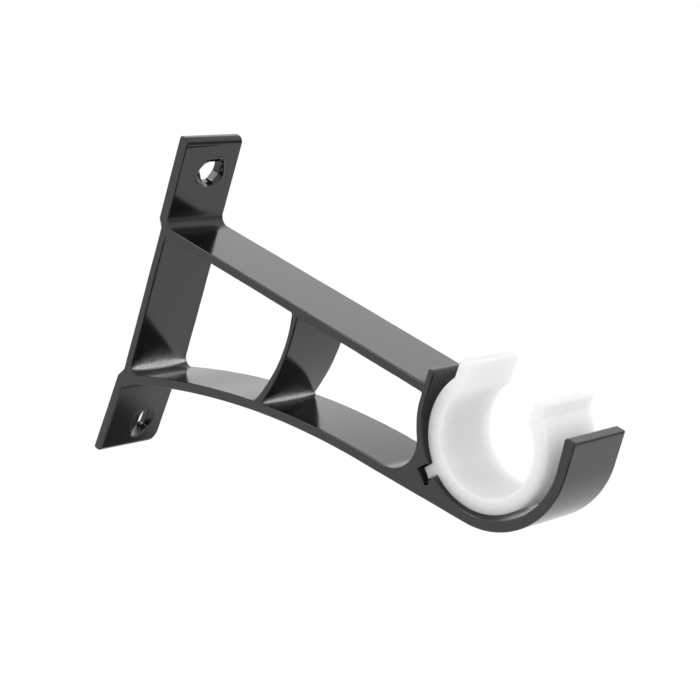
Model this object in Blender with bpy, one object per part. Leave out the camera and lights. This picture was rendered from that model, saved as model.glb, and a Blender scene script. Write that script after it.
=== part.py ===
"""Wall bracket for a round curtain pole, with its plastic pole liner.

X runs from the wall into the room, Z is up and Y runs along the pole.
The origin is on the wall face of the top tab, in the middle of the bracket's width,
halfway between the arm's upper face and the screw hole.
All lengths are in metres and all angles in degrees.
"""
import math

import bmesh
import bpy
from mathutils import Matrix
from mathutils.geometry import tessellate_polygon

# Bracket body: one extruded profile, cut to this width along the pole
body_width = 0.0200
body_edge_round = 0.0002
arc_tolerance = 0.00002
round_steps = 2

# Wall plate
plate_height = 0.0885
top_tab_height = 0.0233
top_tab_thickness = 0.0030
tab_front_round = 0.0017
tab_back_round = 0.0006
wall_relief = 0.0014
web_thickness = 0.0023
jog_round = 0.0007
top_jog_height = 0.0002
top_jog_slope = 55.0
low_jog_height = 0.0236
low_jog_slope = 58.0
low_tab_height = 0.0202
low_tab_thickness = 0.0026
low_tab_lean = 4.6
low_tab_set_back = 0.0003
low_tab_front_round = 0.0013
far_corner_round = 0.0036

# Straight top arm and the ridge at its end
arm_thickness = 0.0022
arm_plate_fillet = 0.0026
ridge_height = 0.0038
ridge_thickness = 0.0018
ridge_inner_round = 0.0010
small_round = 0.0004

# Cradle and hook, round the liner with some play
cradle_reach = 0.1106
cradle_drop = 0.0030
cradle_play = 0.00245
cradle_side_wall = 0.00165
hook_wall = 0.0026
hook_height = 0.0094
hook_inner_lean = 6.0
hook_outer_lean = 3.0
hook_inner_round = 0.0008

# Lower arched arm
low_arm_thickness = 0.0024
low_arm_radius = 0.2010
belly_rise = 2.5
belly_length = 0.0330
low_arm_tab_fillet = 0.0020
low_arm_web_fillet = 0.0022
low_arm_cradle_fillet = 0.0075

# Curved strut between the two arms
strut_reach = 0.0506
strut_radius = 0.0534
strut_crown_drop = 0.0082
strut_thickness = 0.0015
strut_hollow_radius = 0.0395
strut_hollow_drop = 0.0095
strut_fillet = 0.0006

# Screw holes through the tabs
top_hole_shift = 0.0012
top_hole_height = 0.0142
top_hole_diameter = 0.0071
top_hole_mouth = 0.0089
low_hole_shift = 0.0024
low_hole_height = 0.0074
low_hole_diameter = 0.0046
low_hole_mouth = 0.0076
hole_sides = 32
corner_steps = 8
cut_overrun = 0.0010

# Pole liner: a split ring for the pole, with two upright lips and a key
pole_diameter = 0.0250
pole_play = 0.0002
liner_width = 0.0192
liner_wall = 0.0036
seat_gap = 0.00043
seat_angle = -110.0
mouth_pinch = 0.0063
mouth_shift = -0.0010
left_lip_drop = 0.0020
right_lip_drop = 0.0013
left_lip_thickness = 0.0028
right_lip_thickness = 0.0029
lip_round = 0.0006
lip_root_round = 0.0012
liner_edge_round = 0.0003
key_angle = -130.5
key_width = 0.0029
key_length = 0.0027
key_round = 0.0002
fit_gap = 0.0003
slot_end_gap = 0.0012
slot_foot_height = 0.0014
slot_foot_reach = 0.0007
slot_round = 0.0002


def straight(x, z, heading):
    """A straight edge through a point, running in the given direction."""
    return {"x": x, "z": z, "radius": 0.0, "heading": math.radians(heading)}


def arc(x, z, radius, start, end):
    """A circular edge round a centre, with the angles near which it begins and ends."""
    turn = 1.0 if end > start else -1.0
    return {"x": x, "z": z, "radius": radius, "turn": turn,
            "start": math.radians(start), "end": math.radians(end)}


def on_arc(edge, angle):
    """The point of a circular edge at an angle."""
    return (edge["x"] + edge["radius"] * math.cos(angle),
            edge["z"] + edge["radius"] * math.sin(angle))


def run_on(edge):
    """The straight edge that carries a circular edge on past its end."""
    x, z = on_arc(edge, edge["end"])
    return straight(x, z, math.degrees(edge["end"]) + 90.0 * edge["turn"])


def run_in(edge):
    """The straight edge that leads smoothly into the start of a circular edge."""
    x, z = on_arc(edge, edge["start"])
    return straight(x, z, math.degrees(edge["start"]) + 90.0 * edge["turn"])


def angle_above(edge_x, radius, x):
    """The angle at which the upper half of a circle passes over a place along X."""
    return math.degrees(math.acos((x - edge_x) / radius))


def angle_beside(edge_z, radius, z):
    """The angle at which the room side of a circle passes a height."""
    return math.degrees(math.asin((z - edge_z) / radius))


def depth(edge, x, z):
    """How far a point lies on the metal side of an edge, and the direction that deepens it."""
    if not edge["radius"]:
        side_x = -math.sin(edge["heading"])
        side_z = math.cos(edge["heading"])
        return (x - edge["x"]) * side_x + (z - edge["z"]) * side_z, side_x, side_z
    away_x = x - edge["x"]
    away_z = z - edge["z"]
    length = math.hypot(away_x, away_z)
    turn = edge["turn"]
    return turn * (edge["radius"] - length), -turn * away_x / length, -turn * away_z / length


def corner(first, second, rounding):
    """The centre of the rounding between two edges, and where it leaves one and joins the other.

    A positive rounding is an outer corner and a negative one fills an inner corner.
    Edges that flow into each other have no rounding at all (None).
    """
    if rounding is None:
        leave = on_arc(first, first["end"]) if first["radius"] else on_arc(second, second["start"])
        join = on_arc(second, second["start"]) if second["radius"] else leave
        return leave, leave, join
    if first["radius"]:
        x, z = on_arc(first, first["end"])
    elif second["radius"]:
        x, z = on_arc(second, second["start"])
    else:
        x, z = first["x"], first["z"]
    for _ in range(40):
        depth_1, x_1, z_1 = depth(first, x, z)
        depth_2, x_2, z_2 = depth(second, x, z)
        miss_1 = rounding - depth_1
        miss_2 = rounding - depth_2
        spread = x_1 * z_2 - x_2 * z_1
        x += (miss_1 * z_2 - miss_2 * z_1) / spread
        z += (x_1 * miss_2 - x_2 * miss_1) / spread
    x_1, z_1 = depth(first, x, z)[1:]
    x_2, z_2 = depth(second, x, z)[1:]
    leave = (x - rounding * x_1, z - rounding * z_1)
    join = (x - rounding * x_2, z - rounding * z_2)
    return (x, z), leave, join


def arc_points(centre, radius, begin, finish, turn):
    """Points between two points of a circle, going round it one way."""
    start = math.atan2(begin[1] - centre[1], begin[0] - centre[0])
    end = math.atan2(finish[1] - centre[1], finish[0] - centre[0])
    swing = (end - start) * turn % math.tau
    step = 2.0 * math.acos(1.0 - arc_tolerance / max(radius, 2.0 * arc_tolerance))
    count = max(round_steps, math.ceil(swing / step))
    angles = [start + turn * swing * i / count for i in range(1, count)]
    return [(centre[0] + radius * math.cos(a), centre[1] + radius * math.sin(a)) for a in angles]


def trace(edges):
    """The closed outline along a list of edges, each given with the rounding that follows it."""
    count = len(edges)
    corners = [corner(edges[i][0], edges[(i + 1) % count][0], edges[i][1]) for i in range(count)]
    outline = []
    for i in range(count):
        edge, rounding = edges[i]
        centre, leave, join = corners[i]
        if edge["radius"]:
            place = (edge["x"], edge["z"])
            outline += arc_points(place, edge["radius"], corners[i - 1][2], leave, edge["turn"])
        outline.append(leave)
        if rounding:
            outline += arc_points(centre, abs(rounding), leave, join, math.copysign(1.0, rounding))
        if join != leave:
            outline.append(join)
    return outline


def inset(outline, distance):
    """The outline moved a small distance into the metal."""
    moved = []
    count = len(outline)
    for i in range(count):
        here = outline[i]
        after = outline[(i + 1) % count]
        in_x = here[0] - outline[i - 1][0]
        in_z = here[1] - outline[i - 1][1]
        out_x = after[0] - here[0]
        out_z = after[1] - here[1]
        in_length = math.hypot(in_x, in_z)
        out_length = math.hypot(out_x, out_z)
        side_x = -in_z / in_length - out_z / out_length
        side_z = in_x / in_length + out_x / out_length
        scale = 2.0 * distance / (side_x * side_x + side_z * side_z)
        moved.append((here[0] + side_x * scale, here[1] + side_z * scale))
    return moved


def new_object(name, form):
    """Put a finished form into the scene under its own name."""
    bmesh.ops.recalc_face_normals(form, faces=form.faces)
    mesh = bpy.data.meshes.new(name)
    form.to_mesh(mesh)
    form.free()
    item = bpy.data.objects.new(name, mesh)
    bpy.context.scene.collection.objects.link(item)
    return item


def extrude(name, outlines, near, far, edge_round):
    """A closed solid between two cut faces, rounded where its walls meet them."""
    levels = []
    for i in range(round_steps + 1):
        angle = math.pi / 2 * i / round_steps
        levels.append((edge_round * (1.0 - math.sin(angle)), edge_round * (1.0 - math.cos(angle))))
    stack = [(inward, near + along) for inward, along in levels]
    stack += [(inward, far - along) for inward, along in reversed(levels)]
    form = bmesh.new()
    columns = []
    for outline in outlines:
        rings = []
        for inward, place in stack:
            rings.append([form.verts.new((x, place, z)) for x, z in inset(outline, inward)])
        for lower, upper in zip(rings, rings[1:]):
            for i in range(len(lower)):
                wall = form.faces.new((lower[i - 1], lower[i], upper[i], upper[i - 1]))
                wall.smooth = True
        columns.append(rings)
    for end in (0, -1):
        verts = [vert for rings in columns for vert in rings[end]]
        loops = [[vert.co for vert in rings[end]] for rings in columns]
        for triangle in tessellate_polygon(loops):
            form.faces.new([verts[i] for i in triangle])
    return new_object(name, form)


def screw_hole(name, diameter, mouth, thickness, place, tilt):
    """A cutter for a countersunk hole through a tab, with its mouth at a place on the front."""
    sink = (mouth - diameter) / 2
    profile = [(-thickness - cut_overrun, diameter / 2), (-sink, diameter / 2),
               (cut_overrun, mouth / 2 + cut_overrun)]
    form = bmesh.new()
    rings = []
    for along, radius in profile:
        ring = []
        for i in range(hole_sides):
            angle = math.tau * i / hole_sides
            ring.append(form.verts.new((along, radius * math.cos(angle), radius * math.sin(angle))))
        rings.append(ring)
    for lower, upper in zip(rings, rings[1:]):
        for i in range(hole_sides):
            form.faces.new((lower[i - 1], lower[i], upper[i], upper[i - 1]))
    form.faces.new(rings[0])
    form.faces.new(rings[-1])
    turn = Matrix.Rotation(math.radians(tilt), 4, "Y")
    form.transform(Matrix.Translation(place) @ turn)
    cutter = new_object(name, form)
    cutter.hide_render = True
    cutter.display_type = "WIRE"
    return cutter


def worn_corner(name, radius, reach, y, z):
    """A cutter that rounds the far lower corner of the lower tab, through its whole thickness."""
    section = [(y + cut_overrun, z + radius), (y + cut_overrun, z - cut_overrun),
               (y - radius, z - cut_overrun)]
    for i in range(corner_steps + 1):
        angle = math.pi / 2 * i / corner_steps
        section.append((y - radius + radius * math.sin(angle), z + radius - radius * math.cos(angle)))
    form = bmesh.new()
    sides = [[form.verts.new((x, a, b)) for a, b in section] for x in (-reach, reach)]
    for i in range(len(section)):
        form.faces.new((sides[0][i - 1], sides[0][i], sides[1][i], sides[1][i - 1]))
    form.faces.new(sides[0])
    form.faces.new(sides[1])
    cutter = new_object(name, form)
    cutter.hide_render = True
    cutter.display_type = "WIRE"
    return cutter


def cut(item, cutter):
    """Take the cutter's volume out of an object and remove the cutter."""
    modifier = item.modifiers.new(cutter.name, "BOOLEAN")
    modifier.operation = "DIFFERENCE"
    modifier.solver = "EXACT"
    modifier.object = cutter
    bpy.context.view_layer.objects.active = item
    bpy.ops.object.modifier_apply(modifier=modifier.name)
    bpy.data.objects.remove(cutter, do_unlink=True)


def paint(item, name, colour, metallic, roughness):
    """Give an object its own plain material."""
    material = bpy.data.materials.new(name)
    material.use_nodes = True
    shader = material.node_tree.nodes["Principled BSDF"]
    shader.inputs["Base Color"].default_value = colour
    shader.inputs["Metallic"].default_value = metallic
    shader.inputs["Roughness"].default_value = roughness
    item.data.materials.append(material)


# The pole sets the liner and the liner sets the cradle
liner_inner_radius = pole_diameter / 2 + pole_play
liner_outer_radius = liner_inner_radius + liner_wall
cradle_radius = liner_outer_radius + cradle_play

# Heights measured from the origin, halfway between the arm and the top screw hole
arm_top = -(top_hole_height - top_hole_diameter / 2) / 2
plate_top = arm_top + top_tab_height
plate_foot = plate_top - plate_height
arm_under = arm_top - arm_thickness
web_front = wall_relief + web_thickness
cradle_z = arm_top - cradle_drop
cradle_outer = cradle_radius + hook_wall
cradle_side_outer = cradle_radius + cradle_side_wall

# The belly is the straight run under the cradle; the arched arm flows out of it
belly = math.radians(belly_rise)
belly_end_x = cradle_reach + cradle_outer * math.sin(belly)
belly_end_z = cradle_z - cradle_outer * math.cos(belly)
arch_x = belly_end_x - belly_length * math.cos(belly) + low_arm_radius * math.sin(belly)
arch_z = belly_end_z - belly_length * math.sin(belly) - low_arm_radius * math.cos(belly)
arch_top_radius = low_arm_radius + low_arm_thickness

# The lower tab sits a little behind the wall face and leans further back
lean = math.radians(low_tab_lean)
low_back_x = -low_tab_set_back
low_back_z = plate_foot + low_tab_height
low_front_x = low_back_x + low_tab_thickness * math.cos(lean)
low_front_z = low_back_z - low_tab_thickness * math.sin(lean)

# The strut is bounded by a wide arc on its room side and a tighter one on its wall side
strut_x = strut_reach - strut_radius
strut_z = arm_top - strut_crown_drop
hollow_x = strut_reach - strut_thickness - strut_hollow_radius
hollow_z = arm_top - strut_hollow_drop

# The liner sits low and back in the cradle; key and slot share a line through its centre
liner_x = cradle_reach + (cradle_play - seat_gap) * math.cos(math.radians(seat_angle))
liner_z = cradle_z + (cradle_play - seat_gap) * math.sin(math.radians(seat_angle))
key_end = liner_outer_radius + key_length
slot_end = key_end + slot_end_gap
slot_half = key_width / 2 + fit_gap
slot_spread = math.degrees(math.asin(slot_half / cradle_radius))


def along_key(out, side, turn):
    """A straight edge beside the key's line, turned from its outward direction."""
    key = math.radians(key_angle)
    x = liner_x + math.cos(key) * out - math.sin(key) * side
    z = liner_z + math.sin(key) * out + math.cos(key) * side
    return straight(x, z, key_angle + turn)


arch_under = arc(arch_x, arch_z, low_arm_radius,
                 angle_above(arch_x, low_arm_radius, web_front), 90.0 + belly_rise)
hook_outside = arc(cradle_reach, cradle_z, cradle_outer, -90.0 + belly_rise, hook_outer_lean)
hook_inside = arc(cradle_reach, cradle_z, cradle_radius, hook_inner_lean,
                  key_angle + slot_spread)
cradle_side = arc(cradle_reach, cradle_z, cradle_radius, key_angle - slot_spread, -180.0)
ridge_inside = run_on(cradle_side)

body_outline = trace([
    (straight(low_back_x, low_back_z, -90.0 - low_tab_lean), tab_back_round),
    (straight(low_back_x, plate_foot, -low_tab_lean), low_tab_front_round),
    (straight(low_front_x, low_front_z, 90.0 - low_tab_lean), -low_arm_tab_fillet),
    (arch_under, None),
    (hook_outside, None),
    (run_on(hook_outside), small_round),
    (straight(cradle_reach, cradle_z + hook_height, 180.0), hook_inner_round),
    (run_in(hook_inside), None),
    (hook_inside, slot_round),
    (along_key(slot_end, slot_half, 0.0), slot_round),
    (along_key(slot_end - slot_foot_height, slot_half, 90.0), -slot_round),
    (along_key(slot_end, slot_half + slot_foot_reach, 0.0), -slot_round),
    (along_key(slot_end, slot_half, -90.0), -slot_round),
    (along_key(slot_end, -slot_half, 180.0), slot_round),
    (cradle_side, None),
    (ridge_inside, ridge_inner_round),
    (straight(ridge_inside["x"], arm_top + ridge_height, 180.0), small_round),
    (straight(ridge_inside["x"] - ridge_thickness, arm_top, -90.0), -small_round),
    (straight(ridge_inside["x"], arm_top, 180.0), -arm_plate_fillet),
    (straight(top_tab_thickness, arm_top, 90.0), tab_front_round),
    (straight(top_tab_thickness, plate_top, 180.0), tab_back_round),
    (straight(0.0, plate_top, -90.0), jog_round),
    (straight(wall_relief / 2, arm_top + top_jog_height, -top_jog_slope), -jog_round),
    (straight(wall_relief, arm_top, -90.0), -jog_round),
    (straight(wall_relief / 2, plate_foot + low_jog_height, low_jog_slope - 180.0), jog_round),
])

arch_at_strut = angle_above(arch_x, arch_top_radius, strut_reach)
arch_at_web = angle_above(arch_x, arch_top_radius, web_front)
arch_at_cradle = angle_above(arch_x, arch_top_radius, cradle_reach - cradle_side_outer)
arch_strut_z = arch_z + arch_top_radius * math.sin(math.radians(arch_at_strut))

plate_window = trace([
    (straight(web_front, arm_under, 0.0), -strut_fillet),
    (arc(hollow_x, hollow_z, strut_hollow_radius,
         angle_beside(hollow_z, strut_hollow_radius, arm_under),
         angle_beside(hollow_z, strut_hollow_radius, arch_strut_z)), -strut_fillet),
    (arc(arch_x, arch_z, arch_top_radius, arch_at_strut, arch_at_web), -low_arm_web_fillet),
    (straight(web_front, arm_under, 90.0), -small_round),
])

cradle_side_turn = math.degrees(math.asin(low_arm_cradle_fillet / cradle_side_outer))
cradle_window = trace([
    (straight(strut_reach, arm_under, 0.0), -small_round),
    (arc(cradle_reach, cradle_z, cradle_side_outer, 180.0, 180.0 + cradle_side_turn),
     -low_arm_cradle_fillet),
    (arc(arch_x, arch_z, arch_top_radius, arch_at_cradle, arch_at_strut), -small_round),
    (arc(strut_x, strut_z, strut_radius, angle_beside(strut_z, strut_radius, arch_strut_z),
         angle_beside(strut_z, strut_radius, arm_under)), -small_round),
])

mouth_x = liner_x + mouth_shift
mouth_half = (pole_diameter - mouth_pinch) / 2
left_in = mouth_x - mouth_half
right_in = mouth_x + mouth_half
left_out = left_in - left_lip_thickness
right_out = right_in + right_lip_thickness
left_top = liner_z + liner_outer_radius - left_lip_drop
right_top = liner_z + liner_outer_radius - right_lip_drop

liner_outline = trace([
    (arc(liner_x, liner_z, liner_outer_radius,
         angle_above(liner_x, liner_outer_radius, left_out), 360.0 + key_angle), -key_round),
    (along_key(key_end, -key_width / 2, 0.0), key_round),
    (along_key(key_end, 0.0, 90.0), key_round),
    (along_key(key_end, key_width / 2, 180.0), -key_round),
    (arc(liner_x, liner_z, liner_outer_radius, key_angle,
         angle_above(liner_x, liner_outer_radius, right_out)), -lip_root_round),
    (straight(right_out, liner_z, 90.0), lip_round),
    (straight(right_out, right_top, 180.0), lip_round),
    (straight(right_in, liner_z, -90.0), lip_root_round),
    (arc(liner_x, liner_z, liner_inner_radius,
         angle_above(liner_x, liner_inner_radius, right_in),
         angle_above(liner_x, liner_inner_radius, left_in) - 360.0), lip_root_round),
    (straight(left_in, liner_z, 90.0), lip_round),
    (straight(left_in, left_top, 180.0), lip_round),
    (straight(left_out, liner_z, -90.0), -lip_root_round),
])

for leftover in list(bpy.data.objects):
    bpy.data.objects.remove(leftover, do_unlink=True)

body_half = body_width / 2
bracket = extrude("bracket_body", [body_outline, plate_window, cradle_window],
                  -body_half, body_half, body_edge_round)
top_hole_place = (top_tab_thickness, top_hole_shift, arm_top + top_hole_height)
cut(bracket, screw_hole("top_screw_hole", top_hole_diameter, top_hole_mouth,
                        top_tab_thickness, top_hole_place, 0.0))
low_hole_z = plate_foot + low_hole_height
low_hole_x = low_front_x - (low_front_z - low_hole_z) * math.tan(lean)
cut(bracket, screw_hole("low_screw_hole", low_hole_diameter, low_hole_mouth,
                        low_tab_thickness, (low_hole_x, low_hole_shift, low_hole_z),
                        low_tab_lean))
cut(bracket, worn_corner("far_lower_corner", far_corner_round, low_tab_height, body_half,
                         plate_foot))
bracket.data.set_sharp_from_angle(angle=math.radians(40.0))
paint(bracket, "black_coated_aluminium", (0.02, 0.02, 0.02, 1.0), 0.0, 0.3)

liner = extrude("pole_liner", [liner_outline], body_half - liner_width, body_half,
                liner_edge_round)
liner.data.set_sharp_from_angle(angle=math.radians(40.0))
paint(liner, "white_nylon", (0.8, 0.8, 0.8, 1.0), 0.0, 0.5)
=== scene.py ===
import math

import bpy
import numpy as np
from bpy.props import FloatProperty, FloatVectorProperty, PointerProperty
from mathutils import Matrix, Vector
from mathutils.geometry import tessellate_polygon


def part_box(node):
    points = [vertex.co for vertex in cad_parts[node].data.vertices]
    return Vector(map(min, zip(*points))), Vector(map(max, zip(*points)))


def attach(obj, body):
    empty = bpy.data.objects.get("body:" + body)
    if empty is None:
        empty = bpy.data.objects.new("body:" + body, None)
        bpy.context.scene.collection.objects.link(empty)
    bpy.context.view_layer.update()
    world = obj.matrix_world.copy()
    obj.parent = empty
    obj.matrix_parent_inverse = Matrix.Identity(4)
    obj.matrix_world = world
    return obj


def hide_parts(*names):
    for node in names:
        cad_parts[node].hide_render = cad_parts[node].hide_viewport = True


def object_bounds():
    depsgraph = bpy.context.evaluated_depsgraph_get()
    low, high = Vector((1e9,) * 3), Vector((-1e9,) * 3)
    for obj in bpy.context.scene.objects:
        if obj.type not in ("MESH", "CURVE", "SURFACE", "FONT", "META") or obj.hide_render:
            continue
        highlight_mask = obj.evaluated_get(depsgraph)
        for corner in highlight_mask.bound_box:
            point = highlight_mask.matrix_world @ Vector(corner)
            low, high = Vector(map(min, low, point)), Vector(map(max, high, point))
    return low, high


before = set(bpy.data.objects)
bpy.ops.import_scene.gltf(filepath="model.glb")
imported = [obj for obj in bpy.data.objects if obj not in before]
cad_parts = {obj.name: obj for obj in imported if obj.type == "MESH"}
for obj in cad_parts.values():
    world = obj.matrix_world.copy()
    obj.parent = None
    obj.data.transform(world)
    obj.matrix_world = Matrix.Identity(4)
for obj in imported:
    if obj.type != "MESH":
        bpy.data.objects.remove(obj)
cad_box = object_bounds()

# Wall bracket for a curtain pole: the looks of its gloss black body and white liner.
# X runs from the wall into the room, Y along the pole and Z up. Lengths are in metres.
bl_info = {
    "name": "Curtain Pole Bracket",
    "version": (1, 0, 0),
    "blender": (4, 5, 0),
    "location": "3D View > Sidebar > Bracket",
    "description": "Finishes a curtain pole bracket and its white liner round a fixed frame",
    "category": "Object",
}

millimetre = 0.001
micrometre = 0.000001

# How the CAD meshes are read: the steps of their edge rounding, the distance at which points are
# one, how alike two chords of an arc are in length, and the widest turn between them
cad_round_steps = 2
cad_weld = 2 * micrometre
equal_chord_share = 0.01
widest_chord_turn = math.radians(60.0)
# How finely each piece is divided: the steps of its edge rounding, the rows between its two
# roundings, and the widest turn that one step takes round an arc
body_division = (5, 9, math.radians(5.0))
liner_division = (6, 7, math.radians(5.0))

# Along the edges the rounding wanders in waves: how many go round, their phase and their share
edge_waves = ((7, 1.0, 1.0), (17, 4.0, 0.7), (41, 2.0, 0.5))
# Near an outer corner the rounding starts at a share of its radius and opens with the distance
corner_edge_share = 0.9
corner_opening_share = 0.3
# Inner corners up to this radius hold a rougher coat, for this far on both sides
crease_radius = 4.5 * millimetre
crease_reach = 1.6 * millimetre
# In the closed windows a painted highlight lies in the inner corners that face this way, as (x, z),
# by at least this share: pale specks that stand in for a lamp's highlight in the fillet. A core
# runs along the corner, and a share of it reaches on up the next wall as a halo. Both bulge in the
# middle of the width, and fade out below this share of the bulge.
thin_facing = (0.77, 0.64)
thin_facing_share = 0.993
thin_core_reach = 0.6 * millimetre
thin_halo_reach = 1.3 * millimetre
thin_halo_share = 0.65
thin_end_share = 0.25

# Screw holes, top one first. Each is a rounded polygon, whose sides are given by the turn in
# degrees that they face, from the pole's direction upwards, and their distance from the middle in
# millimetres. A paler patch of its bore is drilled metal, and partly a painted highlight on the side
# that catches the light. It is given by its turn and half width in degrees, and each blob of pooled
# coat by its turn and half width in degrees and by its place past the mouth, half length and
# height in millimetres.
hole_forms = (
    {"mouth": ((145, 4.1), (90, 3.65), (20, 4.2), (-17, 4.75), (-75, 3.85), (-104, 3.6), (-132, 4.6),
               (-157, 4.9)),
     "bore": ((-149, 2.75), (126, 2.6), (90, 2.45), (8, 3.85), (-33, 3.45), (-90, 3.15)),
     "bare": (-33, 19), "blobs": ((-115, 9, 1.0, 0.7, 0.7), (-101, 6, 0.2, 0.4, 0.4))},
    {"mouth": ((172, 4.2), (139, 4.3), (106, 3.75), (79, 3.7), (22, 3.6), (-9, 3.2), (-56, 3.3),
               (-115, 4.5), (-149, 3.9)),
     "bore": ((180, 0.55), (120, 2.4), (90, 2.9), (40, 3.0), (0, 2.1), (-60, 2.4), (-100, 2.4),
              (-140, 1.8)),
     "bare": (0, 0), "blobs": ((-122, 9, 0.3, 0.5, 0.35), (-102, 6, 0.5, 0.3, 0.25))},
)
# How crisp the polygons' corners are, how deep the countersinks go, and the points round a hole
polygon_power = 14.0
sink_depth = 0.9 * millimetre
hole_sides = 128
# A hole's wall is made with a collar of the flat face round it, whose lip and blobs fade out
# before its outer edge. The hole's edges are rounded.
collar_width = 0.9 * millimetre
collar_fade = 0.3 * millimetre
collar_steps = 8
hole_round = 0.18 * millimetre
hole_round_steps = 5
# The lip of coat round a mouth, and the waves in its height
lip_width = 0.28 * millimetre
lip_height = 0.05 * millimetre
lip_waves = ((2, 0.6, 0.5), (5, 2.0, 0.35))
# Blobs of this height are pale: rubbed metal, and partly a painted highlight where they catch the
# light
pale_blob_height = 0.15 * millimetre

# Noise patterns: how many finer layers each has, and how strong each layer is beside the last
peel_noise = {"Detail": 2.0, "Roughness": 0.5}
grain_noise = {"Detail": 1.0, "Roughness": 0.5}
fleck_noise = {"Detail": 6.0, "Roughness": 0.7}
mould_noise = {"Detail": 2.0, "Roughness": 0.5}
# The values of its noise over which a fleck opens, and those over which a speck of the painted
# highlight goes from the first to the second multiple of the highlight's strength
fleck_opening = {"From Min": 0.5, "From Max": 0.75}
highlight_speck_opening = {"From Min": 0.35, "From Max": 0.65, "To Min": 0.6, "To Max": 2.4}
# Indices of refraction of a baked powder coat and of nylon
coat_ior = 1.58
nylon_ior = 1.53

# Soft boxes: where they stand, their width and height, their radiance, where 1 is white, and
# whether only gloss sees them. They face the bracket's middle.
bracket_middle = (0.07, 0.0, -0.03)
soft_boxes = (
    ("front_left_overhead_box", (-0.60, -0.42, 0.90), 0.36, 0.36, 6.0, True),
    ("rear_left_box", (-0.93, 1.14, 0.52), 0.75, 1.10, 0.45, False),
)
# Dark cards that only gloss sees: where they stand, what they face, their radius and how dark
# their middle is, as a share. The dark is even up to a share of the radius, and softens from there.
low_tab_middle = (0.0, 0.0, -0.065)
low_hole_middle = (0.0, -0.003, -0.067)
flags = (
    ("rear_right_flag", (0.40, 0.40, 0.13), bracket_middle, 0.21, 0.75),
    ("front_right_flag", (0.44, -0.32, -0.23), bracket_middle, 0.42, 1.0),
    ("overhead_flag", (-0.215, 0.165, 0.345), bracket_middle, 0.26, 1.0),
    ("low_tab_flag", (0.039, 0.036, -0.103), low_tab_middle, 0.020, 0.85),
    ("low_hole_flag", (0.0072, 0.0358, -0.0815), low_hole_middle, 0.012, 0.85),
)
flag_core_share = 0.5
# The camera's film width in millimetres, and the nearest and the furthest that it sees
film_width = 36.0
nearest_seen = 0.01
furthest_seen = 50.0


def linear(text):
    """A linear colour from an sRGB hex value, by the sRGB transfer curve."""
    values = [int(text[i:i + 2], 16) / 255.0 for i in (1, 3, 5)]
    return tuple(v / 12.92 if v <= 0.04045 else ((v + 0.055) / 1.055) ** 2.4 for v in values)


class BodySettings(bpy.types.PropertyGroup):
    """Finish of the coated aluminium body"""

    edge_round: FloatProperty(
        name="Edge Rounding", description="Rounding where the walls meet the sawn ends",
        default=0.4 * millimetre, min=0.0, unit="LENGTH", precision=5)
    edge_wander: FloatProperty(
        name="Edge Wander", description="How much the rounding varies along the edge, as a share",
        default=0.25, min=0.0, max=0.5, subtype="FACTOR")
    worn_radius: FloatProperty(
        name="Worn Corner", description="Radius of the far lower corner of the lower tab",
        default=3.6 * millimetre, min=0.0, unit="LENGTH", precision=5)
    outline_step: FloatProperty(
        name="Outline Step", description="Longest step between two points of the outline",
        default=0.7 * millimetre, min=0.0, unit="LENGTH", precision=5)
    coat_colour: FloatVectorProperty(
        name="Coat", description="Colour of the gloss black coat", subtype="COLOR",
        default=linear("#0a0a0a"), min=0.0, max=1.0)
    sawn_colour: FloatVectorProperty(
        name="Sawn Ends", description="Colour of the coat over the rougher sawn ends",
        subtype="COLOR", default=linear("#161616"), min=0.0, max=1.0)
    chip_colour: FloatVectorProperty(
        name="Rubbed Flecks", description="Colour of the flecks where the sawn ends are rubbed",
        subtype="COLOR", default=linear("#404040"), min=0.0, max=1.0)
    # Colour of the paler patch of a bore and of the pale blobs: drilled metal, and partly a painted
    # highlight
    bare_colour: FloatVectorProperty(
        name="Thin Coat", description="Colour of the drilled metal under its thin coat",
        subtype="COLOR", default=linear("#8c8c8c"), min=0.0, max=1.0)
    # Colour of the painted highlight in the windows' inner corners
    crease_highlight_colour: FloatVectorProperty(
        name="Bare Metal", description="Colour of the etched aluminium where the coat is thinnest",
        subtype="COLOR", default=linear("#f4f4f4"), min=0.0, max=1.0)
    coat_roughness: FloatProperty(
        name="Coat Roughness", description="Roughness of the coat on the extruded walls",
        default=0.14, min=0.0, max=1.0, subtype="FACTOR")
    sawn_roughness: FloatProperty(
        name="Sawn Roughness", description="Roughness of the coat on the sawn ends",
        default=0.34, min=0.0, max=1.0, subtype="FACTOR")
    crease_roughness: FloatProperty(
        name="Inner Corner Roughness", description="Roughness of the coat in the inner corners",
        default=0.36, min=0.0, max=1.0, subtype="FACTOR")
    peel_size: FloatProperty(
        name="Orange Peel Size", description="Width of one swell of the coat's orange peel",
        default=0.8 * millimetre, min=0.0, unit="LENGTH", precision=5)
    peel_height: FloatProperty(
        name="Orange Peel Height", description="Height of the coat's orange peel",
        default=7.0 * micrometre, min=0.0, unit="LENGTH", precision=7)
    grain_size: FloatProperty(
        name="Powder Grain", description="Width of the coat's grains in the inner corners",
        default=0.3 * millimetre, min=0.0, unit="LENGTH", precision=5)
    fleck_size: FloatProperty(
        name="Fleck Size", description="Width of the rubbed flecks on the sawn ends",
        default=0.5 * millimetre, min=0.0, unit="LENGTH", precision=5)


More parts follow.
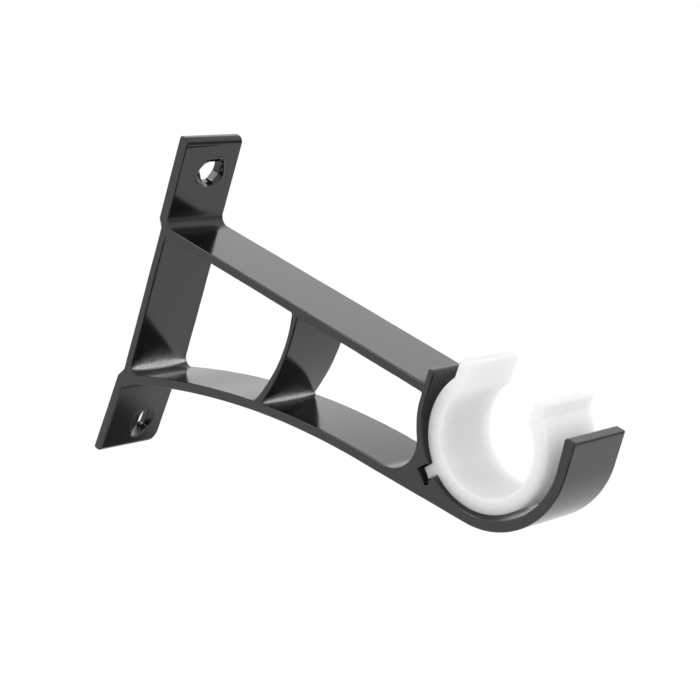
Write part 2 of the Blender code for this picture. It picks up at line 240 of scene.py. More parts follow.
class LinerSettings(bpy.types.PropertyGroup):
    """Finish of the moulded nylon liner"""

    edge_round: FloatProperty(
        name="Edge Rounding", description="Soft edge of the moulding",
        default=0.45 * millimetre, min=0.0, unit="LENGTH", precision=5)
    outline_step: FloatProperty(
        name="Outline Step", description="Longest step between two points of the outline",
        default=0.5 * millimetre, min=0.0, unit="LENGTH", precision=5)
    nylon_colour: FloatVectorProperty(
        name="Nylon", description="Colour of the natural white nylon", subtype="COLOR",
        default=linear("#f3f3f1"), min=0.0, max=1.0)
    roughness: FloatProperty(
        name="Roughness", description="Roughness of the moulded surface",
        default=0.5, min=0.0, max=1.0, subtype="FACTOR")
    scatter: FloatProperty(
        name="Scatter", description="How far light wanders inside the nylon",
        default=11.0 * millimetre, min=0.0, unit="LENGTH", precision=4)
    grain_size: FloatProperty(
        name="Mould Grain", description="Width of one grain of the mould's spark texture",
        default=0.5 * millimetre, min=0.0, unit="LENGTH", precision=5)
    grain_height: FloatProperty(
        name="Mould Grain Height", description="Height of the mould's spark texture",
        default=8.0 * micrometre, min=0.0, unit="LENGTH", precision=7)


class StageSettings(bpy.types.PropertyGroup):
    """Floor, light and camera"""

    floor_drop: FloatProperty(
        name="Floor Drop", description="How far the floor lies below the bracket",
        default=0.25, min=0.0, unit="LENGTH")
    floor_size: FloatProperty(
        name="Floor Size", description="Side of the square floor", default=14.0, min=0.0,
        unit="LENGTH")
    floor_colour: FloatVectorProperty(
        name="Floor", description="Colour of the pale floor", subtype="COLOR",
        default=linear("#fafafa"), min=0.0, max=1.0)
    floor_glow: FloatProperty(
        name="Floor White", description="How much of the floor is seen as plain white",
        default=0.9, min=0.0, max=1.0, subtype="FACTOR")
    seen_light: FloatProperty(
        name="Background", description="Strength of the white that the camera and gloss see",
        default=1.0, min=0.0)
    fill_light: FloatProperty(
        name="Fill Light", description="Strength of the white surroundings on matt surfaces",
        default=1.0, min=0.0)
    camera_place: FloatVectorProperty(
        name="Camera Place", description="Where the camera stands", subtype="TRANSLATION",
        unit="LENGTH", default=(0.319446, -0.362622, 0.159390), precision=6)
    camera_azimuth: FloatProperty(
        name="Camera Azimuth", description="Heading of the view, turned from looking along the pole",
        default=math.radians(35.507), subtype="ANGLE")
    camera_elevation: FloatProperty(
        name="Camera Elevation", description="How far the camera looks down",
        default=math.radians(21.102), subtype="ANGLE")
    camera_roll: FloatProperty(
        name="Camera Roll", description="How far the camera is rolled clockwise",
        default=math.radians(17.006), subtype="ANGLE")
    lens: FloatProperty(
        name="Lens", description="Focal length in millimetres", default=103.07, min=1.0)


def cad_mesh(name):
    """The merged points of a CAD node and the point numbers of its triangles."""
    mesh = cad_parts[name].data
    mesh.calc_loop_triangles()
    points = np.empty(len(mesh.vertices) * 3)
    mesh.vertices.foreach_get("co", points)
    ends = np.empty(len(mesh.loop_triangles) * 3, dtype=int)
    mesh.loop_triangles.foreach_get("vertices", ends)
    points = np.round(points.reshape(-1, 3) / cad_weld) * cad_weld
    points, place = np.unique(points, axis=0, return_inverse=True)
    return points, place.ravel()[ends].reshape(-1, 3)


def cad_outlines(points, ends):
    """The outlines of a CAD node's section at the level where its walls leave the near edge.

    The level is the third of the mesh's heights along Y. Every wall triangle with one side in that
    level gives one directed edge, and each loop is read by doubling: the chain so far is followed
    by the same chain moved on by its own length, until it comes back to its first point.
    Each outline is an array of (x, z) rows that keeps the metal on its left.
    """
    level = np.unique(points[:, 1])[cad_round_steps]
    on_level = np.abs(points[:, 1] - level) < cad_weld
    follow = np.full(len(points), -1)
    for turn in range(3):
        first, second, third = np.roll(ends, turn, axis=1).T
        wall = on_level[first] & on_level[second] & (points[third, 1] > level + cad_weld)
        follow[second[wall]] = first[wall]
    outlines = []
    left = np.flatnonzero(follow >= 0)
    while len(left):
        chain = left[:1]
        onward = follow
        back = []
        while not len(back):
            chain = np.concatenate([chain, onward[chain]])
            onward = onward[onward]
            back = np.flatnonzero(chain[1:] == chain[0])
        chain = chain[:back[0] + 1]
        outlines.append(points[chain][:, [0, 2]])
        left = np.setdiff1d(left, chain)
    return outlines


def smooth_outline(points, spacing, turn_step):
    """The outline with its chords turned back into true arcs.

    Two neighbouring chords of equal length belong to one arc, whose swing per chord is the turn
    between them, and any other chord is straight. A point at share s of a chord of length c and
    swing w lies at c s sinc(w s / 2) / sinc(w / 2) along the heading at its start plus w s / 2.
    The radius of an arc is c / (2 sin(w / 2)), above zero where the outline bulges outwards.
    Gives the points, their outward normals, the radius at each, the distance run to each and the
    whole way round and, for each chord, its first row, its number of rows and its swing.
    """
    ahead = np.roll(points, -1, axis=0) - points
    length = np.hypot(ahead[:, 0], ahead[:, 1])
    heading = np.arctan2(ahead[:, 1], ahead[:, 0])
    turn = (heading - np.roll(heading, 1) + math.pi) % math.tau - math.pi
    even = np.abs(length - np.roll(length, 1)) < equal_chord_share * length
    even &= np.abs(turn) < widest_chord_turn
    swing = np.where(even, turn, np.where(np.roll(even, -1), np.roll(turn, -1), 0.0))
    rows = np.ceil(np.maximum(np.abs(swing) / turn_step, length / spacing)).astype(int)
    first = np.cumsum(rows) - rows
    chord = np.repeat(np.arange(len(points)), rows)
    share = (np.arange(rows.sum()) - first[chord]) / rows[chord]
    bend = swing[chord]
    start = heading[chord] - bend / 2
    reach = length[chord] * share
    reach *= np.sinc(bend * share / math.tau) / np.sinc(bend / math.tau)
    aim = start + bend * share / 2
    curve = points[chord] + reach[:, None] * np.stack([np.cos(aim), np.sin(aim)], axis=1)
    tangent = start + bend * share
    normal = np.stack([np.sin(tangent), -np.cos(tangent)], axis=1)
    half_turn = np.sin(bend / 2)
    radius = np.full(len(bend), math.inf)
    np.divide(length[chord], 2 * half_turn, out=radius, where=np.abs(half_turn) > cad_weld)
    steps = np.hypot(*(np.roll(curve, -1, axis=0) - curve).T)
    return {"points": curve, "normals": normal, "radius": radius, "run": np.cumsum(steps) - steps,
            "whole": steps.sum(), "first": first, "rows": rows, "swing": swing, "corners": points}


def apart_along(outline):
    """The shortest way along the outline between every two of its points."""
    apart = np.abs(outline["run"][:, None] - outline["run"][None, :])
    return np.minimum(apart, outline["whole"] - apart)


def waves(turn, table):
    """A sum of sines of the turn, each with its count, phase and share."""
    return sum(share * np.sin(count * turn + phase) for count, phase, share in table)


def edge_radii(outline, radius, wander):
    """The edge rounding at each point of an outline.

    It wanders with the distance run, as a sum of sines, and near an outer corner it opens from a
    share of that corner's radius by a share of the distance from it.
    """
    turn = math.tau * outline["run"] / outline["whole"]
    highest = sum(share for _, _, share in edge_waves)
    wanted = radius * (1.0 + wander * waves(turn, edge_waves) / highest)
    corner = np.where(outline["radius"] > 0.0, outline["radius"], math.inf)
    allowed = corner_edge_share * corner[None, :] + corner_opening_share * apart_along(outline)
    return np.minimum(wanted, allowed.min(axis=1))


def creases(outline):
    """How deep each point of an outline lies in an inner corner: a bell curve of the distance."""
    tight = (outline["radius"] < 0.0) & (outline["radius"] > -crease_radius)
    if not tight.any():
        return np.zeros(len(tight))
    return np.exp(-(apart_along(outline)[:, tight].min(axis=1) / crease_reach) ** 2)


def thin_coat(outline, along):
    """How strong the painted highlight is: a share for each place along the width and each point of
    an outline.

    Its pale specks stand in for a lamp's highlight in the inner corners of the windows.
    The core is a bell curve exp(-(d / c)^2) of the distance d from a corner's deepest line. The
    halo is the same before the corner and exp(-d / h) after it, and the two are mixed by the
    halo's share. Both reaches, c and h, are times w = 1 - u^2, where u runs from -1 to 1 along the
    width, and the whole is times w over the end share, up to 1. Only closed windows have it,
    whose outlines run clockwise.
    """
    x, z = outline["points"].T
    tight = (outline["radius"] < 0.0) & (outline["radius"] > -crease_radius)
    tight &= outline["normals"] @ np.array(thin_facing) > thin_facing_share
    if np.sum(x * np.roll(z, -1) - np.roll(x, -1) * z) > 0.0 or not tight.any():
        return np.zeros((len(along), len(x)))
    past = outline["run"][:, None] - outline["run"][None, tight]
    past = (past + outline["whole"] / 2) % outline["whole"] - outline["whole"] / 2
    past = np.take_along_axis(past, np.abs(past).argmin(axis=1)[:, None], axis=1)[:, 0]
    bulge = np.maximum(1 - along ** 2, cad_weld)[:, None]
    core = np.exp(-(past / (thin_core_reach * bulge)) ** 2)
    after = np.exp(-np.maximum(past, 0.0) / (thin_halo_reach * bulge))
    halo = np.where(past > 0.0, after, core)
    mixed = thin_halo_share * halo + (1 - thin_halo_share) * core
    return mixed * np.minimum(1.0, bulge / thin_end_share)


def holed_faces(points, outline, inner):
    """The flat faces of an outline that a round hole passes through.

    A hole leaves CAD points that lie in the plane of a straight chord, between its ends and inside
    the width. Their mean is the hole's centre there.
    """
    corners = outline["corners"]
    inside = points[np.abs(points[:, 1]) < inner]
    found = []
    for chord in np.flatnonzero(outline["swing"] == 0.0):
        start = corners[chord]
        step = corners[(chord + 1) % len(corners)] - start
        length = math.hypot(*step)
        away = inside[:, [0, 2]] - start
        run = away @ step / length
        off = (away[:, 0] * step[1] - away[:, 1] * step[0]) / length
        ring = inside[(np.abs(off) < 2 * cad_weld) & (run > cad_weld) & (run < length - cad_weld)]
        if len(ring):
            facing = np.array([step[1], 0.0, -step[0]]) / length
            found.append({"chord": chord, "centre": ring.mean(axis=0), "facing": facing})
    return found


class Skin:
    """The arrays of one closed mesh while its surfaces are put together."""

    # The third finish marks a painted highlight in the windows' inner corners. The fourth marks paler
    # drilled metal, partly a painted highlight.
    finishes = ("sawn", "crease", "thin", "bare")

    def __init__(self):
        self.points = np.empty((0, 3))
        self.normals = np.empty((0, 3))
        self.finish = np.empty((0, len(self.finishes)))
        self.quads = [np.empty((0, 4), dtype=int)]
        self.triangles = [np.empty((0, 3), dtype=int)]

    def add_points(self, points, normals, **finish):
        """Add a grid of points and give back the grid of their numbers."""
        shape = points.shape[:-1]
        numbers = len(self.points) + np.arange(math.prod(shape)).reshape(shape)
        columns = [np.broadcast_to(finish.get(name, 0.0), shape).ravel() for name in self.finishes]
        self.points = np.concatenate([self.points, points.reshape(-1, 3)])
        self.normals = np.concatenate([self.normals, normals.reshape(-1, 3)])
        self.finish = np.concatenate([self.finish, np.stack(columns, axis=1)])
        return numbers

    def add_grid(self, numbers, keep=None):
        """Add the quads of a grid that is closed along its second side."""
        after = np.roll(numbers, -1, axis=1)
        quads = np.stack([numbers[:-1], after[:-1], after[1:], numbers[1:]], axis=-1)
        self.quads.append((quads if keep is None else quads[keep]).reshape(-1, 4))

    def add_walls(self, column, holes):
        """Add the walls of one outline and leave out the flat faces that holes pass through."""
        outline, numbers, low_row, high_row = column
        keep = np.ones((len(numbers) - 1, numbers.shape[1]), dtype=bool)
        for hole in holes:
            first = outline["first"][hole["chord"]]
            last = first + outline["rows"][hole["chord"]]
            keep[low_row:high_row, first:last] = False
            along = np.arange(first, last + 1) % numbers.shape[1]
            border = [numbers[low_row, along], numbers[low_row + 1:high_row, along[-1]],
                      numbers[high_row, along[::-1]], numbers[high_row - 1:low_row:-1, along[0]]]
            self.fill([np.concatenate(border), hole["rim"]], hole["facing"])
        self.add_grid(numbers[::-1], keep[::-1])

    def fill(self, loops, facing):
        """Fill a flat region between loops of point numbers, with triangles facing one way."""
        places = [self.points[loop].tolist() for loop in loops]
        triangles = np.concatenate(loops)[np.array(tessellate_polygon(places))]
        a, b, c = (self.points[triangles[:, i]] for i in range(3))
        turned = (np.cross(b - a, c - a) @ np.array(facing)) < 0
        triangles[turned] = triangles[turned][:, ::-1]
        self.triangles.append(triangles)

    def build(self, name, material):
        """The mesh object, with smooth shading by the worked-out normals."""
        mesh = bpy.data.meshes.new(name)
        quads = np.concatenate(self.quads)
        triangles = np.concatenate(self.triangles)
        corners = np.concatenate([quads.ravel(), triangles.ravel()])
        starts = np.concatenate([4 * np.arange(len(quads)),
                                 4 * len(quads) + 3 * np.arange(len(triangles))])
        mesh.vertices.add(len(self.points))
        mesh.vertices.foreach_set("co", self.points.ravel())
        mesh.loops.add(len(corners))
        mesh.loops.foreach_set("vertex_index", corners)
        mesh.polygons.add(len(starts))
        mesh.polygons.foreach_set("loop_start", starts)
        mesh.update(calc_edges=True)
        mesh.shade_smooth()
        for column, finish in enumerate(self.finishes):
            values = np.ascontiguousarray(self.finish[:, column])
            mesh.attributes.new(finish, "FLOAT", "POINT").data.foreach_set("value", values)
        mesh.normals_split_custom_set_from_vertices(self.normals)
        mesh.materials.append(material)
        piece = bpy.data.objects.new(name, mesh)
        bpy.context.scene.collection.objects.link(piece)
        return piece


def worn(height, foot, radius):
    """How far the far end steps back at a height: a quarter circle above the foot."""
    below = np.clip(foot + radius - height, 0.0, radius)
    return radius - np.sqrt(radius ** 2 - below ** 2)


def extrude(skin, outlines, settings, division, low, high, wander=0.0, worn_radius=0.0):
    """Carry outlines along Y between two rounded ends.

    A wall point lies at its outline point, moved in by r (1 - sin a) and along from its end by
    r (1 - cos a) in the two roundings, where a runs from 0 to a right angle, and evenly between
    them. The far end steps back over the worn corner at the foot. Gives each outline with the grid
    of its point numbers and the rows at which its roundings meet the wall.
    """
    round_steps, inner_rows, turn_step = division
    foot = low[2]
    angle = np.linspace(0.0, math.pi / 2, round_steps + 1)
    inward = np.concatenate([1 - np.sin(angle), np.zeros(inner_rows), 1 - np.sin(angle[::-1])])
    along = 1 - np.cos(angle)
    low_row = len(angle) - 1
    high_row = len(angle) + inner_rows
    mix = np.linspace(0.0, 1.0, inner_rows + 2)[:, None]
    tilt = np.zeros(len(inward))
    tilt[:len(angle)] = -np.cos(angle)
    tilt[high_row:] = np.cos(angle[::-1])
    columns = []
    for outline in outlines:
        smooth = smooth_outline(outline, settings.outline_step, turn_step)
        radii = edge_radii(smooth, settings.edge_round, wander)
        flat = smooth["points"][None] - smooth["normals"][None] * (inward[:, None] * radii)[..., None]
        far = high[1] - worn(flat[..., 1], foot, worn_radius)
        y = np.empty(flat.shape[:2])
        y[:len(angle)] = low[1] + along[:, None] * radii
        y[high_row:] = far[high_row:] - along[::-1, None] * radii
        y[low_row:high_row + 1] = y[low_row] * (1 - mix) + y[high_row] * mix
        points = np.stack([flat[..., 0], y, flat[..., 1]], axis=-1)
        # On the worn corner the far end faces down along the same quarter circle
        drop = np.clip(foot + worn_radius - flat[..., 1], 0.0, worn_radius)
        drop = np.where(tilt[:, None] > 0, drop / max(worn_radius, cad_weld), 0.0)
        side = np.sqrt(1 - tilt ** 2)[:, None]
        normals = np.stack([smooth["normals"][None, :, 0] * side,
                            tilt[:, None] * np.sqrt(1 - drop ** 2),
                            smooth["normals"][None, :, 1] * side - np.abs(tilt[:, None]) * drop],
                           axis=-1)
        normals /= np.linalg.norm(normals, axis=-1, keepdims=True)
        across = 2 * (y - y.mean(axis=0)).mean(axis=1) / (high[1] - low[1])
        # The windows' inner corners get a painted highlight, kept with the other finishes
        numbers = skin.add_points(points, normals, sawn=tilt[:, None] ** 2, crease=creases(smooth),
                                  thin=thin_coat(smooth, across))
        columns.append((smooth, numbers, low_row, high_row))
    skin.fill([numbers[0] for _, numbers, _, _ in columns], (0, -1, 0))
    skin.fill([numbers[-1] for _, numbers, _, _ in columns], (0, 1, 0))
    return columns


def hole_profile(thickness, mouth, bore):
    """The profile of a countersunk hole: rows of depth and radius, from the front to the back.

    It runs in along the front face, down the countersink and the bore, and out along the back,
    with each corner a parabola between a point before it and a point after it.
    """
    corners = np.array([[0.0, mouth + collar_width], [0.0, mouth], [-sink_depth, bore],
                        [-thickness, bore], [-thickness, bore + collar_width]])
    into = corners[:-1] - corners[1:]
    into /= np.linalg.norm(into, axis=1, keepdims=True)
    share = np.linspace(0.0, 1.0, hole_round_steps)[None, :, None]
    centre = corners[1:-1, None]
    before = centre + hole_round * into[:-1, None]
    after = centre - hole_round * into[1:, None]
    bends = before * (1 - share) ** 2 + centre * 2 * share * (1 - share) + after * share ** 2
    flat = np.linspace(corners[0], before[0, 0], collar_steps, endpoint=False)
    return np.concatenate([flat, bends.reshape(-1, 2), corners[-1:]])


def rounded_polygon(sides, turn):
    """The radius of a rounded polygon at a turn: (sum of (max(0, cos(t - a)) / d)^p)^(-1/p)."""
    aim, distance = np.array(sides).T
    facing = np.maximum(np.cos(turn[:, None] - np.radians(aim)), 0.0)
    return np.sum((facing / (distance * millimetre)) ** polygon_power, axis=1) ** (-1 / polygon_power)


def screw_hole(skin, mouth, bore, form):
    """The wall of a countersunk hole, its profile turned round the line from the bore to the mouth.

    Its radius at a turn runs from that of the bore's rounded polygon to that of the mouth's, up the
    countersink. Two things lift it off the metal: a lip of coat, a bell curve of the radius that
    swells and shrinks round the mouth, and blobs of pooled coat, bell curves of the turn and of the
    distance down the profile. The metal is paler in a patch of the bore and on the blobs. This is
    drilled and rubbed metal, and partly a painted highlight on the side that catches the light.
    """
    thickness = np.linalg.norm(mouth["centre"] - bore["centre"])
    axis = (mouth["centre"] - bore["centre"]) / thickness
    across = np.array([0.0, 1.0, 0.0])
    upward = np.cross(axis, across)
    turn = np.arange(hole_sides) * math.tau / hole_sides
    wide = rounded_polygon(form["mouth"], turn)
    tight = rounded_polygon(form["bore"], turn)
    path = hole_profile(thickness, wide.mean(), tight.mean())
    run = np.concatenate([[0.0], np.cumsum(np.linalg.norm(np.diff(path, axis=0), axis=1))])
    tangent = np.gradient(path, axis=0)
    tangent /= np.linalg.norm(tangent, axis=1, keepdims=True)
    lip = np.exp(-((path[:, 1] - wide.mean() - lip_width) / lip_width) ** 2)
    lip[collar_steps + hole_round_steps:] = 0.0
    pooled = np.zeros((len(path), len(turn)))
    for aim, spread, place, length, height in form["blobs"]:
        apart = (turn - math.radians(aim) + math.pi) % math.tau - math.pi
        gap = run - collar_width - place * millimetre
        pooled += height * millimetre * np.exp(-(gap[:, None] / (length * millimetre)) ** 2
                                               - (apart / math.radians(spread)) ** 2)
    fade = np.clip(np.minimum(run, run[-1] - run) / collar_fade, 0.0, 1.0)[:, None]
    lift = (lip_height * lip[:, None] * (1.0 + waves(turn, lip_waves)) + pooled) * fade
    up = np.clip(1.0 + path[:, :1] / sink_depth, 0.0, 1.0)
    radius = path[:, 1:] + (wide - wide.mean()) * up + (tight - tight.mean()) * (1 - up)
    radius += tangent[:, :1] * lift
    along = path[:, :1] - tangent[:, 1:] * lift
    outwards = across * np.cos(turn)[:, None] + upward * np.sin(turn)[:, None]
    points = mouth["centre"] + along[..., None] * axis + radius[..., None] * outwards
    # Its two rims are shaded as the flat faces are, and zeros leave the rest to the mesh
    normals = np.zeros(points.shape)
    normals[0] = axis
    normals[-1] = -axis
    # A patch of the bore and the blobs are paler: drilled metal, and partly a painted highlight
    aim, spread = np.radians(form["bare"])
    patch = np.abs((turn - aim + math.pi) % math.tau - math.pi) < spread
    pale = np.clip(pooled * fade / pale_blob_height, 0.0, 1.0)
    bare = np.maximum(patch * (up == 0.0) * fade, pale)
    numbers = skin.add_points(points, normals, bare=bare)
    skin.add_grid(numbers)
    mouth["rim"] = numbers[0]
    bore["rim"] = numbers[-1]


class BRACKET_OT_body(bpy.types.Operator):
    """Build the gloss black body over its CAD section"""

    bl_idname = "bracket.body"
    bl_label = "Coated Body"

    def execute(self, context):
        settings = context.scene.bracket_body
        low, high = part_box("bracket_body")
        skin = Skin()
        points, ends = cad_mesh("bracket_body")
        columns = extrude(skin, cad_outlines(points, ends), settings, body_division, low, high,
                          settings.edge_wander, settings.worn_radius)
        inner = high[1] - settings.worn_radius - cad_weld
        faces = [holed_faces(points, outline, inner) for outline, _, _, _ in columns]
        fronts = [face for face in sum(faces, []) if face["facing"][0] > 0]
        backs = [face for face in sum(faces, []) if face["facing"][0] < 0]
        fronts.sort(key=lambda face: -face["centre"][2])
        for front, form in zip(fronts, hole_forms, strict=True):
            back = min(backs, key=lambda face: np.linalg.norm(face["centre"] - front["centre"]))
            screw_hole(skin, front, back, form)
        for column, holes in zip(columns, faces):
            skin.add_walls(column, holes)
        piece = skin.build("coated_body", coated_aluminium(settings))
        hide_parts("bracket_body")
        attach(piece, "root")
        return {"FINISHED"}


class BRACKET_OT_liner(bpy.types.Operator):
    """Build the white split liner over its CAD section"""

    bl_idname = "bracket.liner"
    bl_label = "Nylon Liner"

    def execute(self, context):
        settings = context.scene.bracket_liner
        low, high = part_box("pole_liner")
        skin = Skin()
        outlines = cad_outlines(*cad_mesh("pole_liner"))
        for column in extrude(skin, outlines, settings, liner_division, low, high):
            skin.add_walls(column, [])
        piece = skin.build("nylon_liner", moulded_nylon(settings))
        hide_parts("pole_liner")
        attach(piece, "root")
        return {"FINISHED"}


def add_node(tree, kind, settings=None, inputs=None):
    """Add a node with its own settings, and with values or links on its inputs."""
    node = tree.nodes.new(kind)
    for name, value in (settings or {}).items():
        setattr(node, name, value)
    for name, value in (inputs or {}).items():
        if isinstance(value, bpy.types.NodeSocket):
            tree.links.new(value, node.inputs[name])
        else:
            node.inputs[name].default_value = value
    return node


def new_material(name):
    """A material with an empty node tree and its output."""
    material = bpy.data.materials.new(name)
    material.use_nodes = True
    tree = material.node_tree
    tree.nodes.clear()
    return material, tree, tree.nodes.new("ShaderNodeOutputMaterial")


def coated_aluminium(settings):
    """Gloss black powder coat, sprayed on extruded aluminium and baked.

    The powder melts to a smooth deep black, which shows little but what it mirrors. Pale specks in
    the windows' inner corners are a painted highlight. The paler patches of the screw holes are
    drilled metal, and partly a painted highlight.
    """
    material, tree, output = new_material("black_powder_coated_aluminium")
    place = add_node(tree, "ShaderNodeTexCoord").outputs["Object"]
    sawn, crease, thin, bare = (
        add_node(tree, "ShaderNodeAttribute", {"attribute_name": name}).outputs["Fac"]
        for name in Skin.finishes)
    # Orange peel: the coat's slow swells break up the edge of every reflection
    peel = add_node(tree, "ShaderNodeTexNoise", None, {
        "Vector": place, "Scale": 1.0 / settings.peel_size, **peel_noise})
    # Little powder reaches an inner corner, where it bakes to a grain that sparkles. The real
    # grain is near 0.1 mm, and it is drawn coarser to show.
    grain = add_node(tree, "ShaderNodeTexNoise", None, {
        "Vector": place, "Scale": 1.0 / settings.grain_size, **grain_noise})
    rough = add_node(tree, "ShaderNodeMath", {"operation": "MULTIPLY_ADD"}, {
        0: grain.outputs["Fac"], 1: crease, 2: peel.outputs["Fac"]})
    bump = add_node(tree, "ShaderNodeBump", None, {
        "Height": rough.outputs["Value"], "Distance": settings.peel_height, "Strength": 1.0})
    # The sawn ends are duller, and rubbed through to paler flecks
    fleck = add_node(tree, "ShaderNodeTexNoise", None, {
        "Vector": place, "Scale": 1.0 / settings.fleck_size, **fleck_noise})
    rubbed = add_node(tree, "ShaderNodeMapRange", None, {
        "Value": fleck.outputs["Fac"], **fleck_opening})
    ends = add_node(tree, "ShaderNodeMix", {"data_type": "RGBA"}, {
        "Factor": rubbed.outputs["Result"], "A": (*settings.sawn_colour, 1.0),
        "B": (*settings.chip_colour, 1.0)})
    # In the windows' inner corners pale specks are a painted highlight, standing in for a lamp's
    # highlight in the fillet
    highlight_speck = add_node(tree, "ShaderNodeMapRange", None, {
        "Value": grain.outputs["Fac"], **highlight_speck_opening})
    highlight_mask = add_node(tree, "ShaderNodeMath", {"operation": "MULTIPLY", "use_clamp": True}, {
        0: highlight_speck.outputs["Result"], 1: thin})
    coat = add_node(tree, "ShaderNodeMix", {"data_type": "RGBA"}, {
        "Factor": highlight_mask.outputs["Value"], "A": (*settings.coat_colour, 1.0),
        "B": (*settings.crease_highlight_colour, 1.0)})
    # The drilled metal shows grey in a patch of the bore and on the blobs, partly a painted highlight
    # where the light catches them
    walls = add_node(tree, "ShaderNodeMix", {"data_type": "RGBA"}, {
        "Factor": bare, "A": coat.outputs["Result"], "B": (*settings.bare_colour, 1.0)})
    colour = add_node(tree, "ShaderNodeMix", {"data_type": "RGBA"}, {
        "Factor": sawn, "A": walls.outputs["Result"], "B": ends.outputs["Result"]})
    corners = add_node(tree, "ShaderNodeMix", {"data_type": "FLOAT"}, {
        "Factor": crease, "A": settings.coat_roughness, "B": settings.crease_roughness})
    gloss = add_node(tree, "ShaderNodeMix", {"data_type": "FLOAT"}, {
        "Factor": sawn, "A": corners.outputs["Result"], "B": settings.sawn_roughness})
    shader = add_node(tree, "ShaderNodeBsdfPrincipled", None, {
        "Base Color": colour.outputs["Result"], "Roughness": gloss.outputs["Result"],
        "Normal": bump.outputs["Normal"], "IOR": coat_ior})
    tree.links.new(shader.outputs["BSDF"], output.inputs["Surface"])
    return material


def moulded_nylon(settings):
    """Natural white nylon, injection moulded.

    Light wanders through the whole wall, so its shades are faint and its edges look soft.
    """
    material, tree, output = new_material("natural_moulded_nylon")
    place = add_node(tree, "ShaderNodeTexCoord").outputs["Object"]
    # The mould's spark texture keeps the shine soft. The real grain is near 0.1 mm, and it is
    # drawn coarser to show.
    grain = add_node(tree, "ShaderNodeTexNoise", None, {
        "Vector": place, "Scale": 1.0 / settings.grain_size, **mould_noise})
    bump = add_node(tree, "ShaderNodeBump", None, {
        "Height": grain.outputs["Fac"], "Distance": settings.grain_height, "Strength": 1.0})
    shader = add_node(tree, "ShaderNodeBsdfPrincipled", None, {
        "Base Color": (*settings.nylon_colour, 1.0), "Roughness": settings.roughness,
        "Subsurface Weight": 1.0, "Subsurface Scale": settings.scatter,
        "Subsurface Radius": (1.0, 1.0, 1.0), "Normal": bump.outputs["Normal"], "IOR": nylon_ior})
    tree.links.new(shader.outputs["BSDF"], output.inputs["Surface"])
    return material


def seen_or_mirrored(tree):
    """A factor that is 1 for rays from the camera, off gloss and through glass, and 0 for the rest."""
    path = add_node(tree, "ShaderNodeLightPath").outputs
    both = add_node(tree, "ShaderNodeMath", {"operation": "MAXIMUM"}, {
        0: path["Is Camera Ray"], 1: path["Is Glossy Ray"]})
    every = add_node(tree, "ShaderNodeMath", {"operation": "MAXIMUM"}, {
        0: both.outputs["Value"], 1: path["Is Transmission Ray"]})
    return every.outputs["Value"]


def looking_at(place, target):
    """The place and turn of an upright thing whose front looks at a target."""
    back = (Vector(place) - Vector(target)).normalized()
    side = Vector((0.0, 0.0, 1.0)).cross(back).normalized()
    turn = Matrix((side, back.cross(side), back)).transposed().to_4x4()
    return Matrix.Translation(place) @ turn


def new_lamp(scene, name, place, width, height, radiance, gloss_only):
    """A soft box: an area lamp, whose power is its radiance times pi times its area."""
    lamp = bpy.data.lights.new(name, "AREA")
    lamp.shape = "RECTANGLE"
    lamp.size = width
    lamp.size_y = height
    lamp.color = linear("#ffffff")
    lamp.energy = radiance * math.pi * width * height
    box = bpy.data.objects.new(name, lamp)
    box.matrix_world = looking_at(place, bracket_middle)
    box.visible_camera = False
    box.visible_diffuse = not gloss_only
    scene.collection.objects.link(box)


def new_sheet(scene, name, place, half, material):
    """A square sheet of the stage, given its place and half its side."""
    mesh = bpy.data.meshes.new(name)
    mesh.from_pydata([(-half, -half, 0.0), (half, -half, 0.0), (half, half, 0.0), (-half, half, 0.0)],
                     [], [(0, 1, 2, 3)])
    mesh.materials.append(material)
    sheet = bpy.data.objects.new(name, mesh)
    sheet.matrix_world = place
    scene.collection.objects.link(sheet)
    return sheet


def new_flag(scene, name, place, target, radius, shade):
    """A dark card with a soft edge that only gloss sees, as a studio sets beside a glossy object."""
    material, tree, output = new_material(name)
    middle = add_node(tree, "ShaderNodeTexCoord").outputs["Object"]
    reach = add_node(tree, "ShaderNodeVectorMath", {"operation": "LENGTH"}, {"Vector": middle})
    edge = add_node(tree, "ShaderNodeMapRange", {"interpolation_type": "SMOOTHSTEP"}, {
        "Value": reach.outputs["Value"], "From Min": flag_core_share * radius, "From Max": radius,
        "To Min": shade, "To Max": 0.0})
    clear = add_node(tree, "ShaderNodeBsdfTransparent")
    dark = add_node(tree, "ShaderNodeBsdfDiffuse", None, {"Color": (*linear("#000000"), 1.0)})
    mix = add_node(tree, "ShaderNodeMixShader", None, {
        0: edge.outputs["Result"], 1: clear.outputs["BSDF"], 2: dark.outputs["BSDF"]})
    tree.links.new(mix.outputs["Shader"], output.inputs["Surface"])
    card = new_sheet(scene, name, looking_at(place, target), radius, material)
    card.visible_camera = False
    card.visible_diffuse = False
    card.visible_shadow = False
    card.visible_transmission = False


def new_floor(scene, settings, height):
    """Plain pale floor, seen as white but for the shadow on it."""
    material, tree, output = new_material("pale_floor_paint")
    matt = add_node(tree, "ShaderNodeBsdfDiffuse", None, {"Color": (*settings.floor_colour, 1.0)})
    white = add_node(tree, "ShaderNodeEmission", None, {
        "Color": (*linear("#ffffff"), 1.0), "Strength": settings.seen_light})
    share = add_node(tree, "ShaderNodeMath", {"operation": "MULTIPLY"}, {
        0: seen_or_mirrored(tree), 1: settings.floor_glow})
    mix = add_node(tree, "ShaderNodeMixShader", None, {
        0: share.outputs["Value"], 1: matt.outputs["BSDF"], 2: white.outputs["Emission"]})
    tree.links.new(mix.outputs["Shader"], output.inputs["Surface"])
    place = Matrix.Translation((0.0, 0.0, height))
    new_sheet(scene, "pale_floor", place, settings.floor_size / 2, material)


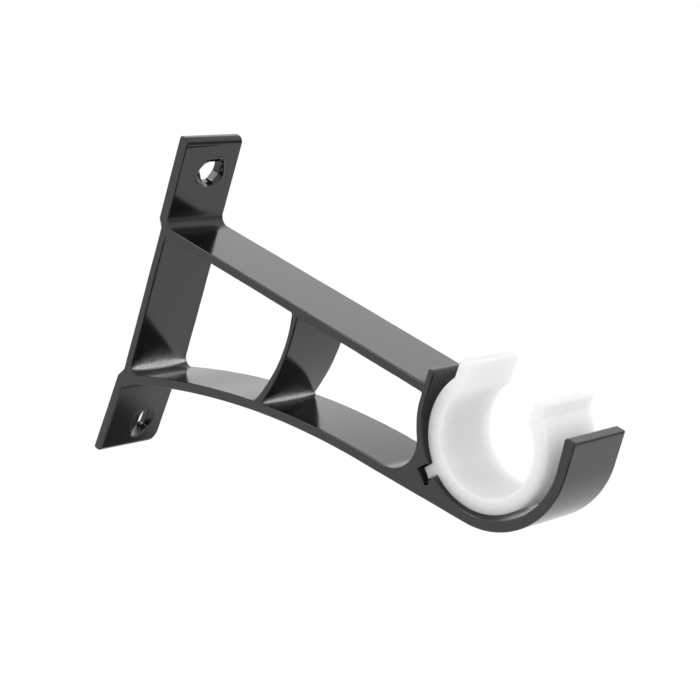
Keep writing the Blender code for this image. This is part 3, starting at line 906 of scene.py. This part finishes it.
def new_surroundings(scene, settings):
    """A white studio round the bracket, with one strength for what is seen and one for matt."""
    world = bpy.data.worlds.new("white_studio")
    world.use_nodes = True
    tree = world.node_tree
    tree.nodes.clear()
    output = tree.nodes.new("ShaderNodeOutputWorld")
    white = (*linear("#ffffff"), 1.0)
    fill = add_node(tree, "ShaderNodeBackground", None, {
        "Color": white, "Strength": settings.fill_light})
    bright = add_node(tree, "ShaderNodeBackground", None, {
        "Color": white, "Strength": settings.seen_light})
    mix = add_node(tree, "ShaderNodeMixShader", None, {
        0: seen_or_mirrored(tree), 1: fill.outputs["Background"], 2: bright.outputs["Background"]})
    tree.links.new(mix.outputs["Shader"], output.inputs["Surface"])
    scene.world = world


def new_camera(scene, settings):
    """The camera, turned by its azimuth, elevation and roll."""
    camera = bpy.data.cameras.new("photo_camera")
    camera.sensor_width = film_width
    camera.lens = settings.lens
    camera.clip_start = nearest_seen
    camera.clip_end = furthest_seen
    eye = bpy.data.objects.new("photo_camera", camera)
    turn = (Matrix.Rotation(settings.camera_azimuth, 4, "Z")
            @ Matrix.Rotation(math.pi / 2 - settings.camera_elevation, 4, "X")
            @ Matrix.Rotation(settings.camera_roll, 4, "Z"))
    eye.matrix_world = Matrix.Translation(settings.camera_place) @ turn
    scene.collection.objects.link(eye)
    scene.camera = eye


class BRACKET_OT_stage(bpy.types.Operator):
    """Lay the pale floor, light it softly and set the camera"""

    bl_idname = "bracket.stage"
    bl_label = "Stage"

    def execute(self, context):
        scene = context.scene
        settings = scene.bracket_stage
        new_floor(scene, settings, cad_box[0][2] - settings.floor_drop)
        new_surroundings(scene, settings)
        for box in soft_boxes:
            new_lamp(scene, *box)
        for flag in flags:
            new_flag(scene, *flag)
        new_camera(scene, settings)
        scene.view_settings.view_transform = "Standard"
        return {"FINISHED"}


class BRACKET_PT_panel(bpy.types.Panel):
    """Sizes, colours and steps of the bracket"""

    bl_idname = "BRACKET_PT_panel"
    bl_label = "Curtain Pole Bracket"
    bl_space_type = "VIEW_3D"
    bl_region_type = "UI"
    bl_category = "Bracket"

    def draw(self, context):
        for name, group, operator in steps:
            box = self.layout.box()
            box.label(text=operator.bl_label)
            settings = getattr(context.scene, name)
            for setting in group.__annotations__:
                box.prop(settings, setting)
            box.operator(operator.bl_idname)


# What each step keeps on the scene, the group of its settings and its operator
steps = (
    ("bracket_body", BodySettings, BRACKET_OT_body),
    ("bracket_liner", LinerSettings, BRACKET_OT_liner),
    ("bracket_stage", StageSettings, BRACKET_OT_stage),
)


def register():
    for name, group, operator in steps:
        bpy.utils.register_class(group)
        bpy.utils.register_class(operator)
        setattr(bpy.types.Scene, name, PointerProperty(type=group))
    bpy.utils.register_class(BRACKET_PT_panel)


def unregister():
    bpy.utils.unregister_class(BRACKET_PT_panel)
    for name, group, operator in steps:
        delattr(bpy.types.Scene, name)
        bpy.utils.unregister_class(operator)
        bpy.utils.unregister_class(group)


def main():
    register()
    bpy.ops.bracket.body()
    bpy.ops.bracket.liner()
    bpy.ops.bracket.stage()


if __name__ == "__main__":
    main()
